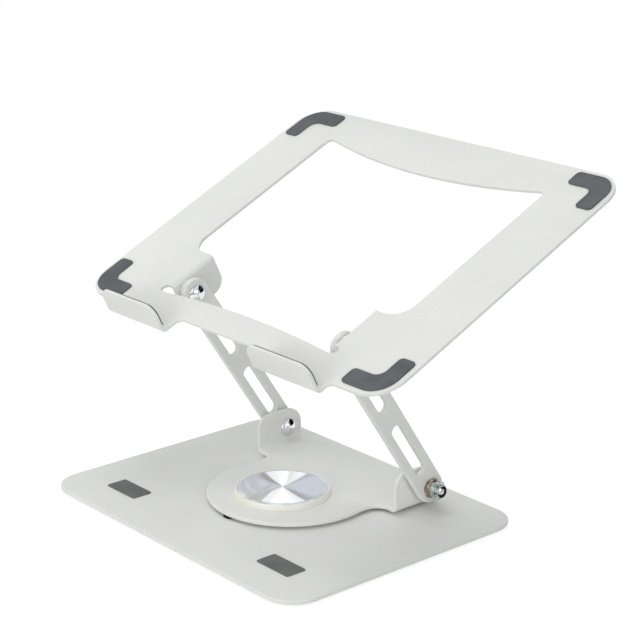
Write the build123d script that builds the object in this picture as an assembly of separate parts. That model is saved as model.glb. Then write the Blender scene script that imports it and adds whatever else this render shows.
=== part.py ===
"""A folding laptop stand: base plate, swivel bracket, two arms and a tilting tray.

Millimetres. The origin is on the desk under the swivel axis. +X is the user's right,
+Y points away from the user and +Z is up. The stand is drawn raised, ready for use.
"""

import os
from math import asin, cos, radians, sin

from build123d import *

# ---- base plate -------------------------------------------------------------------
base_width = 236.7
base_depth = 183.7
base_corner = 20.0
base_sheet = 2.5
base_shift = 2.5  # the swivel axis stands this far behind the plate's middle
base_edge_round = 0.6

foot_length = 38.0
foot_width = 14.0
foot_height = 2.0
foot_inset = 16.0  # plate edge to the foot's outer edges

rest_pad_length = 28.0
rest_pad_width = 14.0
rest_pad_height = 0.8
rest_pad_corner = 1.2
rest_pad_edge_round = 0.3
rest_pad_forward = 63.2  # ahead of the swivel axis
rest_pad_side = 74.2  # pad's middle from the stand's middle

# ---- swivel -----------------------------------------------------------------------
swivel_gap = 1.9  # plate to bracket
stud_radius = 6.0
stud_head_radius = 9.0
stud_head_height = 1.2
stud_head_chamfer = 0.4
stud_thread_radius = 4.0
stud_washer_radius = 10.0
stud_washer_height = 0.6
stud_nut_flats = 13.0
stud_nut_height = 2.0
stud_thread_showing = 0.1  # above the nut
thrust_washer_radius = 22.0
glide_radius = 4.5
glide_circle_radius = 41.0
glide_start = -90.0  # degrees from +X
glide_count = 3
running_fit = 0.05  # radial play of a turning pin in its hole
sliding_gap = 0.1  # glides over the plate

bracket_sheet = 2.5
bracket_bend = 1.5  # inner radius of the bends
bracket_round = 52.1  # radius of the round front
bracket_round_shift = 6.5  # its centre behind the swivel axis
bracket_waist = 50.7  # half width behind the round front
bracket_waist_blend = 20.0
bracket_flare = 9.0
bracket_inside = 128.0  # between the two lugs
bracket_rear_bulge = 8.7
lug_front = 33.7
lug_length = 35.8
lug_height = 22.6  # above the bracket's floor
lug_front_round = 9.0
lug_rear_round = 11.5

pivot_back = 57.8  # lower pivot behind the swivel axis
pivot_height = 10.1  # lower pivot above the bracket's floor

knob_radius = 30.2
knob_taper = 0.8  # the ring is this much smaller at its top
knob_height = 3.65
knob_taper_start = 0.9  # height of the ring's upright foot
knob_wall = 4.0
knob_disc_radius = 27.95
knob_disc_height = 0.85
knob_disc_proud = 0.1
knob_disc_play = 0.1
knob_disc_edge_round = 0.3

# ---- arms -------------------------------------------------------------------------
arm_length = 125.8  # pivot to pivot
arm_width = 19.5
arm_thickness = 4.0
arm_rest_angle = 56.4  # above the desk, leaning forward
arm_edge_round = 1.0
slot_width = 7.5
lower_slot_start = 14.0  # slot ends, measured from the lower pivot
lower_slot_end = 56.0
upper_slot_start = 70.5
upper_slot_end = 100.0

# ---- pivot fasteners --------------------------------------------------------------
bolt_radius = 3.0
bolt_head_radius = 6.0
bolt_head_height = 3.6
bolt_head_rim = 0.7
bolt_overhang = 0.6  # thread showing past the nut
spacer_radius = 8.0
lower_spacer_thickness = 1.5
upper_spacer_thickness = 3.0
lower_washer_radius = 6.3
plain_washer_radius = 5.9
upper_washer_radius = 5.5
washer_thickness = 1.2
plain_washer_thickness = 1.4
spring_washer_radius = 5.3
spring_washer_thickness = 1.5
nut_flats = 10.0
nut_hex_height = 3.8
nut_collar_radius = 4.3
nut_collar_height = 1.6
nut_chamfer = 0.5
nut_insert_radius = 3.7
nut_insert_sunk = 0.2  # into the hexagon
nut_insert_recess = 0.3  # below the collar's end

# ---- tray -------------------------------------------------------------------------
tray_width = 280.8
tray_depth = 215.6
tray_corner = 21.2
tray_sheet = 2.0
tray_bend = 1.5
tray_tilt = 24.8
tray_pivot_from_rear = 180.4
tray_pivot_drop = 10.8  # pivot below the tray's top face

opening_width = 194.2
opening_rear_side = 26.1  # rear rail at the opening's sides
opening_rear_middle = 38.2  # rear rail at its middle
opening_rear_corner = 4.0
opening_front_middle = 192.0  # front rail's rear edge, from the tray's rear
opening_front_side = 196.0
shoulder_round = 13.0

tray_lug_bend = 1.0
tray_lug_rear = 155.5
tray_lug_front = 190.0
tray_lug_drop = 24.0
tray_lug_round = 9.0
relief_reach = 4.0  # relief notch past the lug's fold

lip_inner = 43.5
lip_length = 55.0
lip_reach = 9.7  # outer face of the lip ahead of the tray's front edge
lip_height = 17.5
lip_top_round = 8.0
lip_foot_round = 5.0
lip_foot_outer_round = 3.5
front_recess = 4.4  # front edge set back between the lips

tray_pad_side_span = 30.0  # leg along the tray's side
tray_pad_end_span = 33.0  # leg along the tray's front or rear edge
tray_pad_band = 12.2
tray_pad_side_margin = 3.3
tray_pad_rear_margin = 3.3
tray_pad_front_margin = 3.3
tray_pad_outer_round = 15.0
tray_pad_inner_round = 6.0
tray_pad_end_round = 3.0
tray_pad_height = 1.0
tray_pad_edge_round = 0.3

lip_pad_height = 1.0
lip_pad_margin = 0.5
lip_pad_foot = 3.0  # lining's lower edge above the tray's top face

# ---- levels and places that follow ------------------------------------------------
base_bottom = foot_height
base_top = base_bottom + base_sheet
bracket_bottom = base_top + swivel_gap
bracket_top = bracket_bottom + bracket_sheet
lug_inner = bracket_inside / 2
lug_outer = lug_inner + bracket_sheet
arm_inner = lug_outer + lower_spacer_thickness
arm_outer = arm_inner + arm_thickness
tray_lug_inner = arm_outer + upper_spacer_thickness
tray_lug_outer = tray_lug_inner + tray_sheet
tray_fold = tray_lug_outer + tray_lug_bend
lower_pivot = (pivot_back, bracket_top + pivot_height)
upper_pivot = (
    lower_pivot[0] - arm_length * cos(radians(arm_rest_angle)),
    lower_pivot[1] + arm_length * sin(radians(arm_rest_angle)),
)
tray_place = (
    Pos(0, *upper_pivot)
    * Rot(tray_tilt, 0, 0)
    * Pos(0, tray_pivot_from_rear, tray_pivot_drop)
)

SIDES = (("left", -1), ("right", 1))
nodes = {}


# ---- shared shapes ----------------------------------------------------------------
def handed(shape, sign):
    """The shape as drawn for the right side, or its mirror image for the left."""
    return shape if sign > 0 else mirror(shape, about=Plane.YZ)


def across(sketch, start, end):
    """A sketch in Y and Z, extruded along X from start to end."""
    return extrude(Plane.YZ.offset(start) * sketch, end - start)


def ring(centre, start, end, radius, bore):
    """A washer about an axis along X."""
    return across(Pos(*centre) * (Circle(radius) - Circle(bore)), start, end)


def upright(radius, bottom, top):
    """A round bar about the swivel axis."""
    return Pos(0, 0, bottom) * extrude(Circle(radius), top - bottom)


def near(corners, x, y, reach=0.6):
    """The corners of a sketch that lie at x, y."""
    return [c for c in corners if abs(c.X - x) < reach and abs(c.Y - y) < reach]


def blend(sketch, radius, *places):
    """Round the sketch's corners at the given places."""
    found = [c for place in places for c in near(sketch.vertices(), *place)]
    return fillet(found, radius)


def round_off(plate, radius, *places):
    """Round a plate's upright edges at the given places."""
    edges = plate.edges().filter_by(Axis.Z)
    found = [e for x, y in places for e in edges if abs(e.center().X - x) + abs(e.center().Y - y) < 0.6]
    return fillet(found, radius)


def both(*places):
    """The places and their mirror images in X."""
    return [(side * x, y) for x, y in places for side in (-1, 1)]


def soften(part, faces, radius):
    """Round every edge of the given faces."""
    edges = ShapeList([edge for face in faces for edge in face.edges()])
    return fillet(edges, radius)


def dome_bolt(centre, seat, end):
    """A bolt along X: its domed head lies inboard of seat, its shank ends at end."""
    rim = seat - bolt_head_rim
    rise = bolt_head_height - bolt_head_rim
    dome = (bolt_head_radius**2 + rise**2) / (2 * rise)
    middle = dome - rise
    half_turn = asin(bolt_head_radius / dome) / 2
    shoulder = (rim + middle - dome * cos(half_turn), dome * sin(half_turn))
    outline = Polyline((rim - rise, 0), (seat, 0), (seat, bolt_head_radius), (rim, bolt_head_radius))
    outline += ThreePointArc((rim, bolt_head_radius), shoulder, (rim - rise, 0))
    head = revolve(make_face(outline), Axis.X)
    shank = across(Circle(bolt_radius), seat, end)
    return Pos(0, *centre) * (head + shank)


def lock_nut(centre, start):
    """A hexagon nut with a round collar, and the nylon ring held in the collar."""
    corner = nut_flats / 2 / cos(radians(30))
    hexagon = across(RegularPolygon(corner, 6), start, start + nut_hex_height)
    turned = across(Circle(corner), start, start + nut_hex_height)
    turned = chamfer(turned.edges().filter_by(GeomType.CIRCLE), nut_chamfer)
    collar_end = start + nut_hex_height + nut_collar_height
    collar = across(Circle(nut_collar_radius), start, collar_end)
    collar = fillet(collar.edges().filter_by(GeomType.CIRCLE).sort_by(Axis.X)[-1], nut_chamfer)
    seat = start + nut_hex_height - nut_insert_sunk
    nut = (hexagon & turned) + collar
    nut -= across(Circle(bolt_radius + running_fit), start, collar_end)
    nut -= across(Circle(nut_insert_radius), seat, collar_end)
    rim = nut_insert_radius - running_fit
    insert = ring((0, 0), seat, collar_end - nut_insert_recess, rim, bolt_radius + running_fit)
    return Pos(0, *centre) * nut, Pos(0, *centre) * insert


# ---- base -------------------------------------------------------------------------
def make_base():
    middle = Pos(0, -base_shift, base_bottom)
    plate = middle * extrude(RectangleRounded(base_width, base_depth, base_corner), base_sheet)
    plate = soften(plate, plate.faces().filter_by(Axis.Z), base_edge_round)
    nodes["base_plate"] = plate - upright(stud_radius, 0, base_top)

    foot = extrude(SlotOverall(foot_length, foot_width), foot_height)
    foot_x = base_width / 2 - foot_inset - foot_length / 2
    foot_y = base_depth / 2 - foot_inset - foot_width / 2
    for end, forward in (("front", -1), ("rear", 1)):
        for side, sign in SIDES:
            nodes[f"foot_{end}_{side}"] = Pos(sign * foot_x, forward * foot_y - base_shift) * foot

    pad = extrude(RectangleRounded(rest_pad_length, rest_pad_width, rest_pad_corner), rest_pad_height)
    pad = fillet(pad.faces().sort_by(Axis.Z)[-1].edges(), rest_pad_edge_round)
    for side, sign in SIDES:
        place = Pos(sign * rest_pad_side, -rest_pad_forward, base_top)
        nodes[f"rest_pad_{side}"] = place * pad


def make_stud():
    washer_seat = bracket_top + running_fit
    nut_seat = washer_seat + stud_washer_height
    nut_top = nut_seat + stud_nut_height
    head = upright(stud_head_radius, base_bottom - stud_head_height, base_bottom)
    head = chamfer(head.faces().sort_by(Axis.Z)[0].edges(), stud_head_chamfer)
    shank = upright(stud_radius, base_bottom, washer_seat)
    thread = upright(stud_thread_radius, washer_seat, nut_top + stud_thread_showing)
    nodes["swivel_stud"] = head + shank + thread

    bore = stud_thread_radius + running_fit
    washer = upright(stud_washer_radius, washer_seat, nut_seat)
    nodes["stud_washer"] = washer - upright(bore, washer_seat, nut_seat)
    hexagon = extrude(RegularPolygon(stud_nut_flats / 2 / cos(radians(30)), 6), stud_nut_height)
    nodes["stud_nut"] = Pos(0, 0, nut_seat) * hexagon - upright(bore, nut_seat, nut_top)


# ---- swivel -----------------------------------------------------------------------
def bracket_floor():
    """The flat part of the bracket, drawn from above."""
    fold = lug_inner - bracket_bend
    lug_rear = lug_front + lug_length
    front = Pos(0, bracket_round_shift) * Circle(bracket_round)
    waist = Pos(0, lug_front / 2) * Rectangle(2 * bracket_waist, lug_front)
    span = Pos(0, lug_front + lug_length / 2) * Rectangle(2 * fold, lug_length)
    bulge = make_face(
        ThreePointArc((-fold, lug_rear), (0, lug_rear + bracket_rear_bulge), (fold, lug_rear))
        + Line((fold, lug_rear), (-fold, lug_rear))
    )
    plate = extrude(front + waist + span + bulge, bracket_sheet)
    junction = bracket_round_shift + (bracket_round**2 - bracket_waist**2) ** 0.5
    plate = round_off(plate, bracket_flare, *both((bracket_waist, lug_front)))
    plate = round_off(plate, bracket_waist_blend, *both((bracket_waist, junction)))
    return Pos(0, 0, bracket_bottom) * plate


def bracket_lug():
    """The right-hand lug with its bend, drawn from the side and the front."""
    outer_bend = bracket_bend + bracket_sheet
    upright_start = bracket_top + bracket_bend
    lug_top = bracket_top + lug_height
    middle = Pos(lug_front + lug_length / 2, (upright_start + lug_top) / 2)
    outline = middle * Rectangle(lug_length, lug_top - upright_start)
    outline = blend(outline, lug_front_round, (lug_front, lug_top))
    outline = blend(outline, lug_rear_round, (lug_front + lug_length, lug_top))
    wall = across(outline, lug_inner, lug_outer)
    centre = Pos(lug_inner - bracket_bend, upright_start)
    quarter = centre * (Circle(outer_bend) - Circle(bracket_bend))
    quarter &= centre * Pos(outer_bend / 2, -outer_bend / 2) * Rectangle(outer_bend, outer_bend)
    bend = extrude(Plane.XZ.offset(-lug_front) * quarter, -lug_length)
    return wall + bend


def make_bracket():
    bracket = bracket_floor()
    for side, sign in SIDES:
        bracket += handed(bracket_lug(), sign)
    bracket -= upright(stud_radius + running_fit, bracket_bottom, bracket_top)
    hole = Pos(0, *lower_pivot) * across(Circle(bolt_radius + running_fit), -lug_outer, lug_outer)
    nodes["swivel_bracket"] = bracket - hole

    washer = upright(thrust_washer_radius, base_top, bracket_bottom)
    nodes["thrust_washer"] = washer - upright(stud_radius + running_fit, base_top, bracket_bottom)
    glide = extrude(Circle(glide_radius), swivel_gap - sliding_gap)
    spots = PolarLocations(glide_circle_radius, glide_count, glide_start)
    nodes["glide_pads"] = Compound([Pos(0, 0, base_top + sliding_gap) * p * glide for p in spots])


def make_knob():
    top = bracket_top + knob_height
    floor = top + knob_disc_proud - knob_disc_height
    cup = upright(knob_radius, bracket_top, top)
    cup = chamfer(cup.faces().sort_by(Axis.Z)[-1].edges(), knob_height - knob_taper_start, knob_taper)
    cup -= upright(knob_radius - knob_wall, bracket_top, top)
    cup -= upright(knob_disc_radius + knob_disc_play, floor, top)
    nodes["knob_ring"] = cup
    disc = upright(knob_disc_radius, floor, floor + knob_disc_height)
    nodes["knob_disc"] = fillet(disc.faces().sort_by(Axis.Z)[-1].edges(), knob_disc_edge_round)


# ---- arms -------------------------------------------------------------------------
def make_arms():
    """Each arm is drawn lying along Y from the lower pivot, then raised."""
    middle = arm_length / 2
    outline = Pos(middle) * SlotCenterToCenter(arm_length, arm_width)
    for start, end in ((lower_slot_start, lower_slot_end), (upper_slot_start, upper_slot_end)):
        outline -= Pos((start + end) / 2) * SlotOverall(end - start, slot_width)
    plate = across(outline, arm_inner, arm_outer)
    plate = soften(plate, plate.faces().filter_by(Axis.X), arm_edge_round)
    for reach in (0, arm_length):
        plate -= across(Pos(reach) * Circle(bolt_radius + running_fit), arm_inner, arm_outer)
    raised = Pos(0, *lower_pivot) * Rot(180 - arm_rest_angle, 0, 0) * plate
    for side, sign in SIDES:
        nodes[f"arm_{side}"] = handed(raised, sign)


# ---- pivot fasteners --------------------------------------------------------------
def make_fasteners(level, centre, seat, spacer_gap, stack_start, washers):
    """One pivot's bolt, spacer, washers and nut on each side."""
    stack = {}
    start = stack_start
    for name, radius, thickness in washers:
        stack[name] = ring(centre, start, start + thickness, radius, bolt_radius + running_fit)
        start += thickness
    nut, insert = lock_nut(centre, start)
    end = start + nut_hex_height + nut_collar_height + bolt_overhang
    stack["bolt"] = dome_bolt(centre, seat, end)
    stack["spacer"] = ring(centre, *spacer_gap, spacer_radius, bolt_radius + running_fit)
    stack["nut"] = nut
    stack["nut_insert"] = insert
    for name, shape in stack.items():
        for side, sign in SIDES:
            nodes[f"{level}_{name}_{side}"] = handed(shape, sign)


# ---- tray -------------------------------------------------------------------------
# Drawn flat: Y is zero at the rear edge and negative towards the user, Z is zero at
# the top face of the sheet.
def tray_opening():
    """The large opening, with shoulders where the lugs fold and a notch beside each."""
    half = opening_width / 2
    flank = tray_fold + relief_reach - (opening_front_side - tray_lug_front) / 2
    notch_middle = -(opening_front_side + tray_lug_front) / 2
    rear = ThreePointArc(
        (-half, -opening_rear_side), (0, -opening_rear_middle), (half, -opening_rear_side)
    )
    front = ThreePointArc(
        (tray_lug_inner, -opening_front_side),
        (0, -opening_front_middle),
        (-tray_lug_inner, -opening_front_side),
    )
    outline = rear + front
    for sign in (1, -1):
        corners = [
            (half, -opening_rear_side),
            (half, -tray_lug_rear),
            (tray_fold, -tray_lug_rear),
            (tray_fold, -tray_lug_front),
            (flank, -tray_lug_front),
        ]
        places = [(sign * x, y) for x, y in corners]
        for a, b in zip(places, places[1:]):
            outline += Line(a, b)
        tip = (sign * (tray_fold + relief_reach), notch_middle)
        end = (sign * flank, -opening_front_side)
        outline += ThreePointArc(places[-1], tip, end)
        outline += Line(end, (sign * tray_lug_inner, -opening_front_side))
    opening = make_face(outline)
    opening = blend(opening, opening_rear_corner, *both((half, -opening_rear_side)))
    return blend(opening, shoulder_round, *both((half, -tray_lug_rear)))


def tray_plate():
    """The flat part of the tray with the tabs that carry the lips."""
    outline = Pos(0, -tray_depth / 2) * RectangleRounded(tray_width, tray_depth, tray_corner)
    outline -= Pos(0, -tray_depth) * Rectangle(2 * lip_inner, 2 * front_recess)
    fold = tray_depth + lip_reach - tray_sheet - tray_bend
    for side, sign in SIDES:
        tab = Rectangle(lip_length, fold - tray_depth + front_recess)
        middle = -(fold + tray_depth - front_recess) / 2
        outline += Pos(sign * (lip_inner + lip_length / 2), middle) * tab
    outer = lip_inner + lip_length
    inner_edge = -(tray_depth - front_recess)
    outline = blend(outline, lip_foot_outer_round, *both((outer, -tray_depth)))
    outline = blend(outline, lip_foot_round, *both((lip_inner, inner_edge)))
    return outline - tray_opening()


def tray_lug():
    """The right-hand lug with its bend."""
    outer_bend = tray_lug_bend + tray_sheet
    length = tray_lug_front - tray_lug_rear
    middle = -(tray_lug_front + tray_lug_rear) / 2
    depth = tray_lug_drop - outer_bend
    outline = Pos(middle, -outer_bend - depth / 2) * Rectangle(length, depth)
    ends = [(-tray_lug_rear, -tray_lug_drop), (-tray_lug_front, -tray_lug_drop)]
    outline = blend(outline, tray_lug_round, *ends)
    wall = across(outline, tray_lug_inner, tray_lug_outer)
    centre = Pos(tray_fold, -outer_bend)
    quarter = centre * (Circle(outer_bend) - Circle(tray_lug_bend))
    quarter &= centre * Pos(-outer_bend / 2, outer_bend / 2) * Rectangle(outer_bend, outer_bend)
    bend = extrude(Plane.XZ.offset(tray_lug_rear) * quarter, length)
    return wall + bend


def lip_outline(margin, foot):
    """A lip's face, drawn from the front: X across and Y up from the tray's top face."""
    length = lip_length - 2 * margin
    top = lip_height - margin
    middle = Pos(lip_inner + lip_length / 2, (top + foot) / 2)
    outline = middle * Rectangle(length, top - foot)
    inner = lip_inner + margin
    outer = lip_inner + lip_length - margin
    return blend(outline, lip_top_round - margin, (inner, top), (outer, top))


def tray_lip():
    """The right-hand lip with its bend."""
    outer_bend = tray_bend + tray_sheet
    face = tray_depth + lip_reach
    fold = face - outer_bend
    wall = extrude(Plane.XZ.offset(face) * lip_outline(0, tray_bend), -tray_sheet)
    centre = Pos(-fold, tray_bend)
    quarter = centre * (Circle(outer_bend) - Circle(tray_bend))
    quarter &= centre * Pos(-outer_bend / 2, -outer_bend / 2) * Rectangle(outer_bend, outer_bend)
    return wall + across(quarter, lip_inner, lip_inner + lip_length)


def make_tray():
    frame = Pos(0, 0, -tray_sheet) * extrude(tray_plate(), tray_sheet)
    for side, sign in SIDES:
        frame += handed(tray_lug(), sign) + handed(tray_lip(), sign)
    hole = Pos(0, -tray_pivot_from_rear, -tray_pivot_drop)
    frame -= hole * across(Circle(bolt_radius + running_fit), -tray_lug_outer, tray_lug_outer)
    nodes["tray_frame"] = tray_place * frame

    face = tray_depth + lip_reach - tray_sheet
    lining = extrude(Plane.XZ.offset(face) * lip_outline(lip_pad_margin, lip_pad_foot), -lip_pad_height)
    for side, sign in SIDES:
        nodes[f"lip_pad_{side}"] = tray_place * handed(lining, sign)


def corner_pad():
    """A bent pad, drawn with its outer corner at the origin and its legs along -X and -Y."""
    across_leg = Rectangle(tray_pad_end_span, tray_pad_band)
    side_leg = Rectangle(tray_pad_band, tray_pad_side_span)
    outline = Pos(-tray_pad_end_span / 2, -tray_pad_band / 2) * across_leg
    outline += Pos(-tray_pad_band / 2, -tray_pad_side_span / 2) * side_leg
    end, side, band = -tray_pad_end_span, -tray_pad_side_span, -tray_pad_band
    outline = blend(outline, tray_pad_outer_round, (0, 0))
    outline = blend(outline, tray_pad_inner_round, (band, band))
    outline = blend(outline, tray_pad_end_round, (end, 0), (end, band), (0, side), (band, side))
    pad = extrude(outline, tray_pad_height)
    return fillet(pad.faces().sort_by(Axis.Z)[-1].edges(), tray_pad_edge_round)


def make_tray_pads():
    pad = corner_pad()
    corner = tray_width / 2 - tray_pad_side_margin
    for side, sign in SIDES:
        rear = handed(Pos(corner, -tray_pad_rear_margin) * pad, sign)
        front = mirror(pad, about=Plane.XZ)
        front = handed(Pos(corner, tray_pad_front_margin - tray_depth) * front, sign)
        nodes[f"tray_pad_rear_{side}"] = tray_place * rear
        nodes[f"tray_pad_front_{side}"] = tray_place * front


# ---- the whole stand --------------------------------------------------------------
make_base()
make_stud()
make_bracket()
make_knob()
make_arms()
make_fasteners(
    "lower",
    lower_pivot,
    lug_inner,
    (lug_outer, arm_inner),
    arm_outer,
    (
        ("washer", lower_washer_radius, washer_thickness),
        ("plain_washer", plain_washer_radius, plain_washer_thickness),
        ("spring_washer", spring_washer_radius, spring_washer_thickness),
    ),
)
make_fasteners(
    "upper",
    upper_pivot,
    arm_inner,
    (arm_outer, tray_lug_inner),
    tray_lug_outer,
    (("washer", upper_washer_radius, washer_thickness),),
)
make_tray()
make_tray_pads()

os.makedirs("parts", exist_ok=True)
for name, shape in nodes.items():
    export_step(shape, f"parts/{name}.step")
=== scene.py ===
from math import cos, pi, radians, sin, tau

import bmesh
import bpy
import numpy as np
from mathutils import Euler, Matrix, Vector


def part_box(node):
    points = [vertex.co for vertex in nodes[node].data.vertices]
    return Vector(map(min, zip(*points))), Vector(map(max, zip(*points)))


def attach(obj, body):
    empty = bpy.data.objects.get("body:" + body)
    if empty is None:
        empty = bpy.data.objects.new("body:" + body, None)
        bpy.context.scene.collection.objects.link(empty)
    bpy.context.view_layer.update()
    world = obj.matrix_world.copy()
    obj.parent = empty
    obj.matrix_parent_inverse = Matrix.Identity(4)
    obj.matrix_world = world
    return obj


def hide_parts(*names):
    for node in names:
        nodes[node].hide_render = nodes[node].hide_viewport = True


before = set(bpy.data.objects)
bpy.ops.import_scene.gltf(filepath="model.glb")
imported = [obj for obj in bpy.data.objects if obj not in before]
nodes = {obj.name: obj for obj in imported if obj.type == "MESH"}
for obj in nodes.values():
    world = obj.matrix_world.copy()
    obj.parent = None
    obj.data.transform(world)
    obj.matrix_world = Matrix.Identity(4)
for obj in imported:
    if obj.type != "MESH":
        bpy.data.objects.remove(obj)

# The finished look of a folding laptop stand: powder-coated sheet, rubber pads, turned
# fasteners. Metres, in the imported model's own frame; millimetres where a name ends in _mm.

for leftover in ("Cube", "Light", "Camera"):
    if leftover in bpy.data.objects:
        bpy.data.objects.remove(bpy.data.objects[leftover])
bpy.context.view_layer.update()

MM = 0.001
scene = bpy.context.scene
SIDES = (("left", -1), ("right", 1))


# ---- camera -----------------------------------------------------------------------
camera_place = (0.8554, -0.7092, 0.4778)
camera_azimuth = 49.15  # degrees from straight along +Y
camera_drop = 17.82     # degrees below level
camera_lens_mm = 109.26
camera_sensor_mm = 36
camera_clip = (0.01, 50)

camera = bpy.data.objects.new("camera", bpy.data.cameras.new("camera"))
camera.location = camera_place
camera.rotation_euler = Euler((radians(90 - camera_drop), 0, radians(camera_azimuth)))
camera.data.lens = camera_lens_mm
camera.data.sensor_width = camera_sensor_mm
camera.data.clip_start, camera.data.clip_end = camera_clip
scene.collection.objects.link(camera)
scene.camera = camera
scene.view_settings.view_transform = "Standard"


# ---- shader sums ------------------------------------------------------------------
def sum_of(operation, swapped=False):
    """A method that feeds two values to a Math node, the socket's own first unless swapped."""

    def method(self, other):
        pair = (other, self) if swapped else (self, other)
        return self.graph.node("ShaderNodeMath", {"operation": operation}, pair)

    return method


class Value:
    """A socket of a graph that takes part in Python sums."""

    def __init__(self, graph, socket):
        self.graph = graph
        self.socket = socket

    __add__ = sum_of("ADD")
    __radd__ = sum_of("ADD", swapped=True)
    __sub__ = sum_of("SUBTRACT")
    __rsub__ = sum_of("SUBTRACT", swapped=True)
    __mul__ = sum_of("MULTIPLY")
    __rmul__ = sum_of("MULTIPLY", swapped=True)


class Graph:
    """The node tree of one finish, of the floor or of the studio's surroundings."""

    def __init__(self, owner):
        owner.use_nodes = True
        self.owner = owner
        self.tree = owner.node_tree
        self.tree.nodes.clear()

    def node(self, kind, settings=None, sockets=(), output=0):
        """Adds a node: its settings first, then its sockets' values or links, by place or name.

        Gives back the output that is asked for, by place or name, or the node if it has none.
        """
        made = self.tree.nodes.new(kind)
        for name, value in (settings or {}).items():
            setattr(made, name, value)
        given = sockets.items() if isinstance(sockets, dict) else enumerate(sockets)
        for key, value in given:
            if isinstance(value, Value):
                self.tree.links.new(value.socket, made.inputs[key])
            else:
                made.inputs[key].default_value = value
        return Value(self, made.outputs[output]) if made.outputs else made

    def place(self):
        """Where a point lies in the object's own frame."""
        return self.node("ShaderNodeTexCoord", output="Object")

    def noise(self, place, per_metre, detail=2.0, rough=0.55):
        """Clouds between 0 and 1 with about so many to the metre."""
        sockets = {"Vector": place, "Scale": per_metre, "Detail": detail, "Roughness": rough}
        return self.node("ShaderNodeTexNoise", {"noise_dimensions": "3D"}, sockets)

    def stretched(self, place, squeeze):
        """The place times a factor per axis; a small factor draws a pattern out along it."""
        return self.node("ShaderNodeVectorMath", {"operation": "MULTIPLY"}, (place, squeeze))

    def part(self, vector, axis):
        """A vector's X, Y or Z."""
        return self.node("ShaderNodeSeparateXYZ", None, (vector,), output=axis)

    def length(self, vector):
        """How long a vector is."""
        settings = {"operation": "LENGTH"}
        return self.node("ShaderNodeVectorMath", settings, (vector,), output="Value")

    def along(self, vector, direction):
        """How far a vector reaches along a direction: their dot product."""
        settings = {"operation": "DOT_PRODUCT"}
        return self.node("ShaderNodeVectorMath", settings, (vector, direction), output="Value")

    def rise(self, value, low, high, top=1.0):
        """A smooth step from 0 up to top as the value goes from low to high."""
        settings = {"interpolation_type": "SMOOTHSTEP", "clamp": True}
        return self.node("ShaderNodeMapRange", settings, (value, low, high, 0.0, top))

    def fall(self, value, low, high):
        """A smooth step from 1 down to 0 as the value goes from low to high."""
        return 1.0 - self.rise(value, low, high)

    def blend(self, share, first, second):
        """A colour between two colours."""
        settings = {"data_type": "RGBA", "blend_type": "MIX"}
        colours = [c if isinstance(c, Value) else (*c, 1) for c in (first, second)]
        sockets = {0: share, 6: colours[0], 7: colours[1]}
        return self.node("ShaderNodeMix", settings, sockets, output=2)

    def bump(self, height, depth, strength):
        """A normal that stands as on a relief of that depth in metres."""
        sockets = {"Strength": strength, "Distance": depth, "Height": height}
        return self.node("ShaderNodeBump", None, sockets)

    def shine(self, colour, strength, kind="ShaderNodeEmission"):
        """Plain light of one colour, from a surface or from the surroundings."""
        sockets = {"Color": colour if isinstance(colour, Value) else (*colour, 1)}
        return self.node(kind, None, sockets | {"Strength": strength})

    def mix(self, share, first, second):
        """A shader between two shaders."""
        return self.node("ShaderNodeMixShader", None, (share, first, second))

    def ray_kinds(self, *kinds):
        """1 or 0 for each kind of ray, such as "Camera" or "Glossy"."""
        first = self.node("ShaderNodeLightPath", output=f"Is {kinds[0]} Ray")
        outputs = first.socket.node.outputs
        return [Value(self, outputs[f"Is {kind} Ray"]) for kind in kinds]


def finish(name, recipe):
    """A material whose Principled sockets are what recipe(graph, place) gives for them."""
    graph = Graph(bpy.data.materials.new(name))
    place = graph.place()
    shader = graph.node("ShaderNodeBsdfPrincipled", None, recipe(graph, place))
    graph.node("ShaderNodeOutputMaterial", None, {"Surface": shader})
    return graph.owner


# ---- finishes ---------------------------------------------------------------------
# Colours are linear, noises count their clouds per metre and bumps are metres deep.
lip_linings_end = (-0.053, -0.051)  # along Y, between the linings and the tray's pads
rest_pads_end = (0.010, 0.020)      # in height, between the base's pads and the tray's


def powder_coat(g, place):
    """Baked powder: a faint orange peel with a finer grain, and slow drifts of tone."""
    drift = g.noise(place, 16, 3)
    peel = g.noise(place, 560, 2)
    grain = g.noise(place, 2300, 2)
    tone = 0.5 * drift + 0.3 * peel + 0.2 * grain
    white = g.blend(g.rise(tone, 0.34, 0.66), (0.808, 0.803, 0.783), (0.866, 0.860, 0.842))
    speck = g.rise(grain, 0.69, 0.76)
    return {
        "Base Color": g.blend(0.25 * speck, white, (0.60, 0.60, 0.59)),
        "Roughness": 0.40 + 0.16 * peel,
        "Normal": g.bump(0.75 * peel + 0.25 * grain, 0.00004, 0.5),
        "IOR": 1.5,
    }


def pad_rubber(g, place):
    """Grey rubber with a fine matt grain and some bloom.

    One finish has three greys: near-black on the linings of the lips, in front of all the
    other pads, which is partly the rubber's own dark and partly painted shade of the crevice
    behind the lips; paler on the rest pads, which lie lower than the others; and grey between.
    """
    bloom = g.noise(place, 60, 3)
    bloomed = g.rise(bloom, 0.35, 0.65)
    grain = g.noise(place, 1500, 3, 0.65)
    grey = g.blend(bloomed, (0.098, 0.099, 0.112), (0.130, 0.132, 0.146))
    worn = g.blend(bloomed, (0.136, 0.136, 0.136), (0.168, 0.168, 0.168))
    on_lips = g.fall(g.part(place, "Y"), *lip_linings_end)
    on_base = g.fall(g.part(place, "Z"), *rest_pads_end)
    # The linings' near-black is partly painted shade: it darkens them for the crevice behind
    # the lips.
    grey = g.blend(on_lips, grey, (0.040, 0.040, 0.042))
    grey = g.blend(on_base, grey, worn)
    dust = g.rise(grain, 0.60, 0.72, 0.35)
    return {
        "Base Color": g.blend(dust, grey, (0.20, 0.20, 0.215)),
        "Roughness": 0.66 + 0.2 * grain,
        "Normal": g.bump(grain, 0.00008, 0.7),
        "IOR": 1.45,
    }


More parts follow.
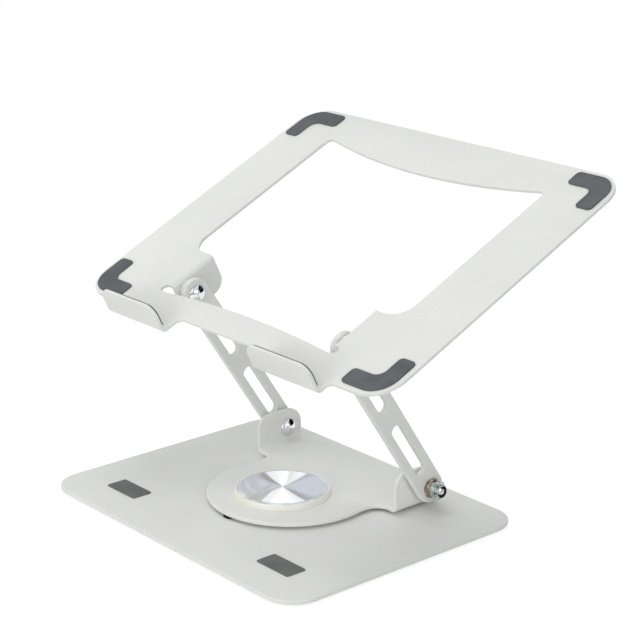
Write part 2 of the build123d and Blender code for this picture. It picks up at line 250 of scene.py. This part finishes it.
def foot_rubber(g, place):
    """Near-black rubber, scuffed grey in patches."""
    grain = g.noise(place, 1200, 3, 0.6)
    scuff = g.rise(g.noise(place, 140, 4, 0.7), 0.52, 0.7)
    return {
        "Base Color": g.blend(0.5 * scuff, (0.045, 0.045, 0.05), (0.13, 0.13, 0.135)),
        "Roughness": 0.7 + 0.2 * scuff,
        "Normal": g.bump(grain, 0.00008, 0.6),
    }


def zinc_plate(g, place):
    """Bright zinc: cloudy plating over fine rolling scratches."""
    cloud = g.noise(place, 380, 2)
    scratch = g.noise(g.stretched(place, (1.0, 0.12, 1.0)), 5200, 2)
    plate = g.blend(g.rise(cloud, 0.40, 0.62), (0.34, 0.375, 0.365), (0.88, 0.93, 0.90))
    scratched = g.rise(scratch, 0.60, 0.70, 0.4)
    return {
        "Base Color": g.blend(scratched, plate, (0.40, 0.41, 0.43)),
        "Metallic": 1.0,
        "Roughness": 0.06 + 0.16 * cloud,
        "Normal": g.bump(0.3 * scratch + 0.7 * cloud, 0.0001, 0.8),
    }


def chrome_plate(g, place):
    """Polished chrome with the last faint ripple of the steel under it."""
    ripple = g.noise(place, 260, 2)
    haze = g.noise(place, 1400, 2)
    return {
        "Base Color": g.blend(ripple, (0.70, 0.72, 0.735), (0.80, 0.81, 0.82)),
        "Metallic": 1.0,
        "Roughness": 0.05 + 0.05 * haze,
        "Normal": g.bump(ripple, 0.00004, 0.35),
    }


def bronze_tint(g, place):
    """A thin washer passivated to a dull bronze, paler where the plating is worn."""
    cloud = g.noise(place, 380, 3, 0.6)
    worn = g.rise(g.noise(place, 900, 3), 0.55, 0.7)
    tint = g.blend(g.rise(cloud, 0.35, 0.65), (0.20, 0.15, 0.12), (0.74, 0.66, 0.54))
    return {
        "Base Color": g.blend(0.6 * worn, tint, (0.86, 0.82, 0.70)),
        "Metallic": 1.0,
        "Roughness": 0.14 + 0.2 * cloud,
        "Normal": g.bump(cloud, 0.00003, 0.5),
    }


def nylon(g, place):
    """Natural nylon: a milky white with faint flow marks."""
    flow = g.noise(g.stretched(place, (1.0, 1.0, 0.25)), 300, 3)
    grain = g.noise(place, 1800, 2)
    milk = g.rise(flow, 0.35, 0.65)
    return {
        "Base Color": g.blend(milk, (0.76, 0.76, 0.72), (0.84, 0.84, 0.81)),
        "Roughness": 0.42 + 0.16 * grain,
        "Normal": g.bump(0.5 * flow + 0.5 * grain, 0.00003, 0.5),
    }


def black_plastic(g, place):
    """Black acetal, lightly rubbed."""
    rub = g.noise(place, 700, 3, 0.6)
    rubbed = g.rise(rub, 0.4, 0.7)
    return {
        "Base Color": g.blend(rubbed, (0.010, 0.010, 0.011), (0.026, 0.026, 0.028)),
        "Roughness": 0.34 + 0.2 * rub,
        "Normal": g.bump(rub, 0.00003, 0.5),
        "IOR": 1.25,
    }


def ivory_plastic(g, place):
    """Moulded ivory-white plastic with a light sheen and soft flow marks."""
    flow = g.noise(place, 45, 3)
    grain = g.noise(place, 1500, 2)
    cream = g.rise(flow, 0.3, 0.7)
    return {
        "Base Color": g.blend(cream, (0.885, 0.882, 0.805), (0.925, 0.922, 0.855)),
        "Roughness": 0.26 + 0.12 * grain,
        "Normal": g.bump(0.3 * flow + 0.7 * grain, 0.00002, 0.5),
        "Coat Weight": 0.15,
        "Coat Roughness": 0.12,
    }


def turned_metal(g, place):
    """Faced aluminium: its brightness and polish change from one tool mark to the next.

    The noises read a point's distance from the Z axis alone, so they make rings about it.
    """
    radius = g.length(g.stretched(place, (1.0, 1.0, 0.0)))
    line = g.node("ShaderNodeCombineXYZ", None, (radius, 0.0, 0.0))
    mark = g.noise(line, 1900, 3, 0.7)
    band = g.noise(line, 260, 2)
    tone = g.rise(0.65 * mark + 0.35 * band, 0.3, 0.7)
    return {
        "Base Color": g.blend(tone, (0.80, 0.81, 0.835), (0.93, 0.935, 0.95)),
        "Metallic": 0.78,
        "Roughness": 0.035 + 0.035 * mark,
    }


finishes = {
    "body": finish("white_powder_coat", powder_coat),
    "pad_rubber": finish("grey_pad_rubber", pad_rubber),
    "foot_rubber": finish("black_foot_rubber", foot_rubber),
    "zinc": finish("zinc_plate", zinc_plate),
    "chrome": finish("polished_chrome", chrome_plate),
    "brass": finish("bronze_passivated", bronze_tint),
    "nylon": finish("natural_nylon", nylon),
    "black_plastic": finish("black_acetal", black_plastic),
    "ring_plastic": finish("ivory_plastic", ivory_plastic),
    "disc": finish("turned_aluminium", turned_metal),
}


# ---- mesh making ------------------------------------------------------------------
same_point = 1e-7  # metres between points that are one


def dress(piece, slot, body, *replaced):
    """Gives a new piece its finish, its body and the CAD nodes that it stands for."""
    piece.data.materials.clear()
    piece.data.materials.append(finishes[slot])
    scene.collection.objects.link(piece)
    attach(piece, body)
    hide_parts(*replaced)
    return piece


def grid_piece(name, points, closed, crease=38):
    """A mesh from an array of points, rows by columns, with each row joined to its start.

    Cell (i, j) is the quad of points (i, j), (i, j+1), (i+1, j+1), (i+1, j), columns taken
    modulo their count; closed joins the last row to the first as well. Rows that shrink to
    one point become poles, and the faces are then turned outwards. Edges that turn by more
    than crease degrees stay sharp.
    """
    rows, columns = points.shape[:2]
    i = np.arange(rows if closed else rows - 1)[:, None]
    j = np.arange(columns)[None, :]
    start, below = i * columns, (i + 1) % rows * columns
    beside = (j + 1) % columns
    corners = (start + j, start + beside, below + beside, below + j)
    quads = np.stack(np.broadcast_arrays(*corners), axis=-1)
    mesh = bpy.data.meshes.new(name)
    mesh.from_pydata(points.reshape(-1, 3).tolist(), [], quads.reshape(-1, 4).tolist())
    shape = bmesh.new()
    shape.from_mesh(mesh)
    bmesh.ops.remove_doubles(shape, verts=shape.verts, dist=same_point)
    bmesh.ops.recalc_face_normals(shape, faces=shape.faces)
    shape.to_mesh(mesh)
    shape.free()
    mesh.shade_smooth()
    mesh.set_sharp_from_angle(angle=radians(crease))
    return bpy.data.objects.new(name, mesh)


def corner(centre, radius, start, end, count=5):
    """Points of an arc in a profile, from a start to an end angle in degrees."""
    turn = np.radians(np.linspace(start, end, count))
    return np.stack([np.cos(turn), np.sin(turn)], axis=1) * radius + centre


def once_round(count):
    """Equal turns in radians, from 0 to just before a full turn, as one row."""
    return np.linspace(0, tau, count, endpoint=False)[None, :]


def round_x(x, radius, turn, middle):
    """Points at a distance x along the X axis and at a radius from the line through middle.

    A point is (x, y0 + r sin t, z0 + r cos t); x, r and t are arrays that fit together.
    """
    y = middle[1] + radius * np.sin(turn)
    z = middle[2] + radius * np.cos(turn)
    return np.stack(np.broadcast_arrays(x, y, z), axis=-1)


def about_z(profile, turns):
    """A profile of (radius, z) carried round the Z axis.

    Point (i, j) is (r_i cos t_j, r_i sin t_j, z_i), with t_j going once round.
    """
    turn = once_round(turns)
    radius, z = profile[:, 0:1], profile[:, 1:2]
    x, y = radius * np.cos(turn), radius * np.sin(turn)
    return np.stack(np.broadcast_arrays(x, y, z), axis=-1)


def ring_profile(low, high, inner, outer, edge):
    """A washer's section, round at its four corners: a closed loop of (x, radius)."""
    return np.concatenate([
        corner((low + edge, inner + edge), edge, 180, 270),
        corner((high - edge, inner + edge), edge, 270, 360),
        corner((high - edge, outer - edge), edge, 0, 90),
        corner((low + edge, outer - edge), edge, 90, 180),
    ])


def middle_of(node):
    """The middle of a CAD node's box."""
    low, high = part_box(node)
    return (low + high) / 2


# ---- sheet metal with rolled edges ------------------------------------------------
weld_reach = 2e-6  # metres, for the loose triangles of a CAD mesh
flat_within = radians(0.6)
sharp_past = radians(40)
roll_steps = 3


def rolled_copy(name, node, slot, body, radius_mm):
    """A merged copy of a CAD solid whose sharp edges a Bevel rolls over to a radius."""
    shape = bmesh.new()
    shape.from_mesh(nodes[node].data)
    bmesh.ops.remove_doubles(shape, verts=shape.verts, dist=weld_reach)
    bmesh.ops.dissolve_limit(
        shape, angle_limit=flat_within, verts=shape.verts, edges=shape.edges
    )
    mesh = bpy.data.meshes.new(name)
    shape.to_mesh(mesh)
    shape.free()
    mesh.shade_smooth()
    piece = bpy.data.objects.new(name, mesh)
    roll = piece.modifiers.new("roll", "BEVEL")
    roll.width = radius_mm * MM
    roll.segments = roll_steps
    roll.limit_method = "ANGLE"
    roll.angle_limit = sharp_past
    roll.harden_normals = True
    dress(piece, slot, body, node)


rolled_copy("tray_sheet", "tray_frame", "body", "tray", 0.7)
rolled_copy("bracket_sheet", "swivel_bracket", "body", "swivel", 0.6)
for side, _ in SIDES:
    rolled_copy(f"lip_lining_{side}", f"lip_pad_{side}", "pad_rubber", "tray", 0.3)
    for end in ("front", "rear"):
        foot = f"{end}_{side}"
        rolled_copy(f"rubber_foot_{foot}", f"foot_{foot}", "foot_rubber", "base", 0.5)


# ---- pivot fasteners --------------------------------------------------------------
bolt_radius_mm = 3.0
bolt_head_radius_mm = 6.0
bolt_head_height_mm = 3.6
bolt_rim_mm = 0.7         # the head's upright edge, under its dome
bolt_rim_round_mm = 0.3
bolt_fillet_mm = 0.25     # in the corner under the head
dome_share = 0.985        # of the dome's arc, where the rim's round takes over
dome_rows = 22
bolt_columns = 48
thread_length_mm = 9.5
thread_pitch_mm = 1.0
thread_depth_mm = 0.5
thread_runout_mm = 0.1    # plain shank right before the thread
rows_per_pitch = 8
end_chamfer_mm = 1.0
end_taper_mm = 1.2        # what the chamfer takes off the radius
end_rim_mm = 1.65         # radius of the shank's end face
end_dish_radius_mm = 0.6
end_dish_depth_mm = 0.12
end_below_mm = 0.8        # the shank stops short of the nut's insert

washer_bore_mm = 3.05
washer_columns = 64
split_half_mm = 0.73      # half a split washer's thickness
split_radii_mm = (3.1, 4.7)
split_edge_mm = 0.2
split_ends = (5.0, 355.0)  # degrees round from the top
split_rows = 72
split_slant = 0.09        # radians that the cut leans per millimetre of thickness


def bolt_points(tip, direction, length_mm):
    """A domed bolt along X: its head's dome, rim and seat, then a shank that ends in a thread.

    The dome is an arc of the sphere through the crown and the rim. Along the thread the
    radius is the shank's less the depth times a triangle wave of (distance / pitch - turn),
    which winds the groove round as a helix; it fades in over a pitch and out at the chamfer.
    """
    dome = bolt_head_height_mm - bolt_rim_mm
    sphere = (bolt_head_radius_mm ** 2 + dome ** 2) / (2 * dome)
    lean = np.arcsin(bolt_head_radius_mm / sphere)
    turn = np.linspace(0, lean * dome_share, dome_rows)
    crown = np.stack([sphere * (1 - np.cos(turn)), sphere * np.sin(turn)], axis=1)
    rim_end = np.array([bolt_head_height_mm, bolt_head_radius_mm])
    rim = corner(rim_end - bolt_rim_round_mm, bolt_rim_round_mm, 90, 0)
    thread_from = length_mm - thread_length_mm
    seat = np.array([
        (bolt_head_height_mm, bolt_radius_mm + bolt_fillet_mm),
        (bolt_head_height_mm + bolt_fillet_mm, bolt_radius_mm),
        (thread_from - thread_runout_mm, bolt_radius_mm),
    ])
    thread_rows = int(thread_length_mm / thread_pitch_mm * rows_per_pitch) + 1
    steps = np.linspace(thread_from, length_mm, thread_rows)
    shank = np.stack([steps, np.full_like(steps, bolt_radius_mm)], axis=1)
    end = np.array([
        (length_mm, end_rim_mm),
        (length_mm - end_dish_depth_mm, end_dish_radius_mm),
        (length_mm - end_dish_depth_mm, 0.0),
    ])
    profile = np.concatenate([crown, rim, seat, shank, end])

    around = once_round(bolt_columns)
    distance = profile[:, 0:1]
    wave = 2 * np.abs(((distance / thread_pitch_mm - around / tau) % 1) - 0.5)
    threaded = np.zeros_like(distance)
    threaded[len(crown) + len(rim) + len(seat):-len(end)] = 1
    fade = np.clip((distance - thread_from) / thread_pitch_mm, 0, 1)
    radius = profile[:, 1:2] - threaded * fade * thread_depth_mm * wave
    taper = np.clip((distance - (length_mm - end_chamfer_mm)) / end_chamfer_mm, 0, 1)
    cone = bolt_radius_mm - end_taper_mm * taper
    radius = np.where(threaded > 0, np.minimum(radius, cone), radius)
    return round_x(tip[0] + direction * distance * MM, radius * MM, around, tip)


def split_washer_points(middle):
    """A spring washer: a rounded oblong section carried round X from just past its split
    to just before it, each section standing on the circle's radius; its ends shrink to a
    point, which closes them, and slant with the thickness."""
    section = ring_profile(-split_half_mm, split_half_mm, *split_radii_mm, split_edge_mm)
    first, last = split_ends
    turn = np.concatenate([[first], np.linspace(first, last, split_rows), [last]])
    turn = np.radians(turn)[:, None]
    shrink = np.ones_like(turn)
    shrink[[0, -1]] = 0
    centre = section.mean(axis=0)
    across = centre[0] + (section[None, :, 0] - centre[0]) * shrink
    radius = centre[1] + (section[None, :, 1] - centre[1]) * shrink
    slant = split_slant * section[None, :, 0] * shrink
    return round_x(middle[0] + across * MM, radius * MM, turn + slant, middle)


def washer(name, node, slot, body, edge_mm):
    """A turned ring in the place of a flat CAD one, with its corners eased."""
    low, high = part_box(node)
    outer = (high.z - low.z) / 2
    profile = ring_profile(low.x, high.x, washer_bore_mm * MM, outer, edge_mm * MM)
    x, radius = profile[:, 0:1], profile[:, 1:2]
    points = round_x(x, radius, once_round(washer_columns), middle_of(node))
    dress(grid_piece(name, points, closed=True), slot, body, node)


for side, direction in SIDES:
    for level, body in (("lower", "swivel"), ("upper", "upper_pins")):
        bolt = f"{level}_bolt_{side}"
        low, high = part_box(bolt)
        middle = middle_of(bolt)
        crown = (low.x if direction > 0 else high.x, middle.y, middle.z)
        points = bolt_points(crown, direction, (high.x - low.x) / MM - end_below_mm)
        domed = grid_piece(f"{level}_domed_bolt_{side}", points, closed=False)
        dress(domed, "chrome", body, bolt)
        washer(f"{level}_collar_{side}", f"{level}_spacer_{side}", "nylon", body, 0.25)
    washer(f"lower_thin_washer_{side}", f"lower_washer_{side}", "brass", "swivel", 0.2)
    washer(f"lower_flat_washer_{side}", f"lower_plain_washer_{side}", "brass", "swivel", 0.3)
    washer(f"upper_flat_washer_{side}", f"upper_washer_{side}", "zinc", "upper_pins", 0.2)
    spring = f"lower_spring_washer_{side}"
    points = split_washer_points(middle_of(spring))
    split = grid_piece(f"lower_split_washer_{side}", points, closed=False)
    dress(split, "zinc", "swivel", spring)


# ---- swivel knob ------------------------------------------------------------------
ring_low, ring_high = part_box("knob_ring")
disc_low, disc_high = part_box("knob_disc")
ring_radius = ring_high.x
ring_taper = 0.8 * MM
ring_foot_round = 0.3 * MM
ring_rim_round = 0.5 * MM
ring_rim_start = 12       # degrees above level, where the tapered wall meets the rim's round
ring_lip_round = 0.2 * MM
ring_width = 4.0 * MM
knob_columns = 128
disc_radius = disc_high.x
disc_gap = 0.1 * MM       # between the disc and the ring
disc_round = 0.3 * MM
disc_columns = 160
groove_pitch = 0.6 * MM
groove_lean = 8.0         # degrees
groove_crease = 8         # degrees; a groove's edges turn by twice its lean and stay sharp
grooves_end = 1.6 * MM    # in from the disc's edge
line_from, line_to = 1.05 * MM, 1.43 * MM  # a turned line, measured in from the edge
line_wall = 0.02 * MM
line_depth = 0.14 * MM


def ring_loop():
    """The knob ring's section: an upright foot, a tapered wall and a rolled rim, then the
    ledge that the disc sits on and the wall inside it, as a closed loop of (radius, z)."""
    low, high = ring_low.z, ring_high.z
    ledge = disc_low.z
    top = ring_radius - ring_taper
    seat = disc_radius + disc_gap
    inside = ring_radius - ring_width
    foot_centre = (ring_radius - ring_foot_round, low + ring_foot_round)
    rim_centre = (top - ring_rim_round, high - ring_rim_round)
    lip_centre = (seat + ring_lip_round, high - ring_lip_round)
    return np.concatenate([
        corner(foot_centre, ring_foot_round, -90, 0),
        corner(rim_centre, ring_rim_round, ring_rim_start, 90, 7),
        corner(lip_centre, ring_lip_round, 90, 180),
        np.array([(seat, ledge), (inside, ledge), (inside, low)]),
    ])


def disc_rows():
    """The disc's face as a lathe leaves it: radius in steps of half a groove, and a height
    that falls and rises by tan(lean) times the step; then a turned line, a rounded edge,
    the side and the back."""
    top = disc_high.z
    face = np.arange(0, disc_radius - grooves_end, groove_pitch / 2)
    drop = np.tan(radians(groove_lean)) * groove_pitch / 2
    height = top - drop * (np.arange(len(face)) % 2)
    line = np.array([
        (disc_radius - line_to - line_wall, top),
        (disc_radius - line_to, top - line_depth),
        (disc_radius - line_from, top - line_depth),
        (disc_radius - line_from + line_wall, top),
    ])
    edge = corner((disc_radius - disc_round, top - disc_round), disc_round, 90, 0)
    back = np.array([(disc_radius, disc_low.z), (0.0, disc_low.z)])
    return np.concatenate([np.stack([face, height], axis=1), line, edge, back])


rim = grid_piece("knob_rim", about_z(ring_loop(), knob_columns), closed=True)
dress(rim, "ring_plastic", "swivel", "knob_ring")
face = about_z(disc_rows(), disc_columns)
turned = grid_piece("knob_turned_disc", face, closed=False, crease=groove_crease)
dress(turned, "disc", "swivel", "knob_disc")


# ---- finishes of the CAD solids that stay -----------------------------------------
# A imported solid's material carries its slot's name; all are read before any is changed.
slot_of = {name: solid.data.materials[0].name.split(".")[0] for name, solid in nodes.items()}
for name, solid in nodes.items():
    if not solid.hide_render:
        solid.material_slots[0].material = finishes[slot_of[name]]


# ---- studio -----------------------------------------------------------------------
WHITE = (1.0, 1.0, 1.0)
floor_reach = 4.0
floor_fades = (0.45, 1.3)  # metres from the stand, from a shadowed floor to plain white
floor_lift = 0.79          # what the shown floor gives off by itself
fill_strength = 0.335
# What bright metal mirrors, in degrees above level.
band_foot = (31, 35.5)     # where the dark band along the top of the wall begins
wall_top = (38, 39)
ceiling_dims = (50, 65)
flags = (((0.483, 0.826, 0.289), 31), ((-0.72, -0.50, 0.47), 17))  # direction and reach
flag_edge = 3


def background_rays(g):
    """1 for the rays that look straight at the background or mirror it, and 0 for the rest."""
    straight, mirrored, clear = g.ray_kinds("Camera", "Glossy", "Transmission")
    return straight + mirrored + clear


def floor_finish():
    """A floor that shows the stand's shadow close by and plain white further off. To the
    stand itself it is a matt pale grey."""
    g = Graph(bpy.data.materials.new("studio_floor"))
    matt = g.node("ShaderNodeBsdfDiffuse", None, {"Color": (0.82, 0.82, 0.82, 1)})
    shaded = g.node("ShaderNodeBsdfDiffuse", None, {"Color": (0.42, 0.42, 0.42, 1)})
    lifted = g.node("ShaderNodeAddShader", None, (shaded, g.shine(WHITE, floor_lift)))
    away = g.rise(g.length(g.place()), *floor_fades)
    shown = g.mix(away, lifted, g.shine(WHITE, 1.0))
    shown = g.mix(background_rays(g), matt, shown)
    g.node("ShaderNodeOutputMaterial", None, {"Surface": shown})
    return g.owner


def heights(angles):
    """The height of a unit vector at each angle above level, in degrees."""
    return [sin(radians(angle)) for angle in angles]


def surroundings():
    """White where the camera looks, an even fill for matt surfaces, and a room for bright
    metal: a pale wall with a dark band along its top, then a ceiling that dims overhead,
    and two black flags in front of them."""
    g = Graph(bpy.data.worlds.new("studio"))
    straight, mirror = g.ray_kinds("Camera", "Glossy")
    toward = g.node("ShaderNodeTexCoord", output="Generated")
    height = g.part(toward, "Z")
    wall = g.fall(height, *heights(wall_top))
    band = g.rise(height, *heights(band_foot)) * wall
    dim = g.rise(height, *heights(ceiling_dims))
    room = g.blend(dim, (0.95, 0.96, 0.97), (0.55, 0.56, 0.58))
    room = g.blend(wall, room, (0.635, 0.67, 0.745))
    room = g.blend(band, room, (0.20, 0.185, 0.205))
    for way, reach in flags:
        near = g.along(toward, tuple(Vector(way).normalized()))
        flag = g.rise(near, cos(radians(reach)), cos(radians(reach - flag_edge)))
        room = g.blend(flag, room, (0.004, 0.004, 0.005))
    fill = g.shine((0.93, 0.99, 0.975), fill_strength, "ShaderNodeBackground")
    shown = g.mix(mirror, fill, g.shine(room, 1.0, "ShaderNodeBackground"))
    shown = g.mix(straight, shown, g.shine(WHITE, 1.0, "ShaderNodeBackground"))
    g.node("ShaderNodeOutputWorld", None, {"Surface": shown})
    return g.owner


def softbox(name, place, aim, size, strength, tint=WHITE, roll=0.0):
    """An area lamp that gives about its strength per metre squared, aimed at a point and
    rolled about that line by an angle in degrees."""
    lamp = bpy.data.lights.new(name, "AREA")
    lamp.shape = "RECTANGLE"
    lamp.size, lamp.size_y = size
    lamp.energy = strength * size[0] * size[1] * pi
    lamp.color = tint
    box = bpy.data.objects.new(name, lamp)
    box.location = place
    aimed = (Vector(aim) - Vector(place)).to_track_quat("-Z", "Y")
    box.rotation_euler = (aimed @ Euler((0, 0, radians(roll))).to_quaternion()).to_euler()
    box.visible_camera = False
    scene.collection.objects.link(box)
    return box


floor_mesh = bpy.data.meshes.new("floor")
floor_corners = floor_reach * np.array([(-1, -1, 0), (1, -1, 0), (1, 1, 0), (-1, 1, 0)])
floor_mesh.from_pydata(floor_corners.tolist(), [], [(0, 1, 2, 3)])
floor_mesh.materials.append(floor_finish())
floor = bpy.data.objects.new("floor", floor_mesh)
scene.collection.objects.link(floor)

scene.world = surroundings()

stand_middle = (0.0, 0.03, 0.08)
knob_face = (0.0, 0.0, 0.013)
warm = (1.0, 0.995, 0.975)
overhead = softbox("overhead", (-0.25, -0.25, 1.7), stand_middle, (1.5, 1.5), 1.45, warm)
overhead.visible_glossy = False  # bright metal mirrors the ceiling and no lamp above it
softbox("low_front", (0.2, -1.7, 0.35), stand_middle, (1.2, 0.6), 3.0, warm)
softbox("low_right", (1.55, -0.15, 0.75), stand_middle, (1.0, 0.8), 1.75, warm)
softbox("left", (-1.6, -0.3, 0.8), stand_middle, (1.0, 0.8), 1.7, warm)
softbox("high_front_right", (0.75, -1.35, 1.15), stand_middle, (1.0, 0.8), 1.25, warm)
softbox("back_rim", (-1.08, 0.90, 1.228), knob_face, (1.3, 0.33), 1.16, roll=-15.0)
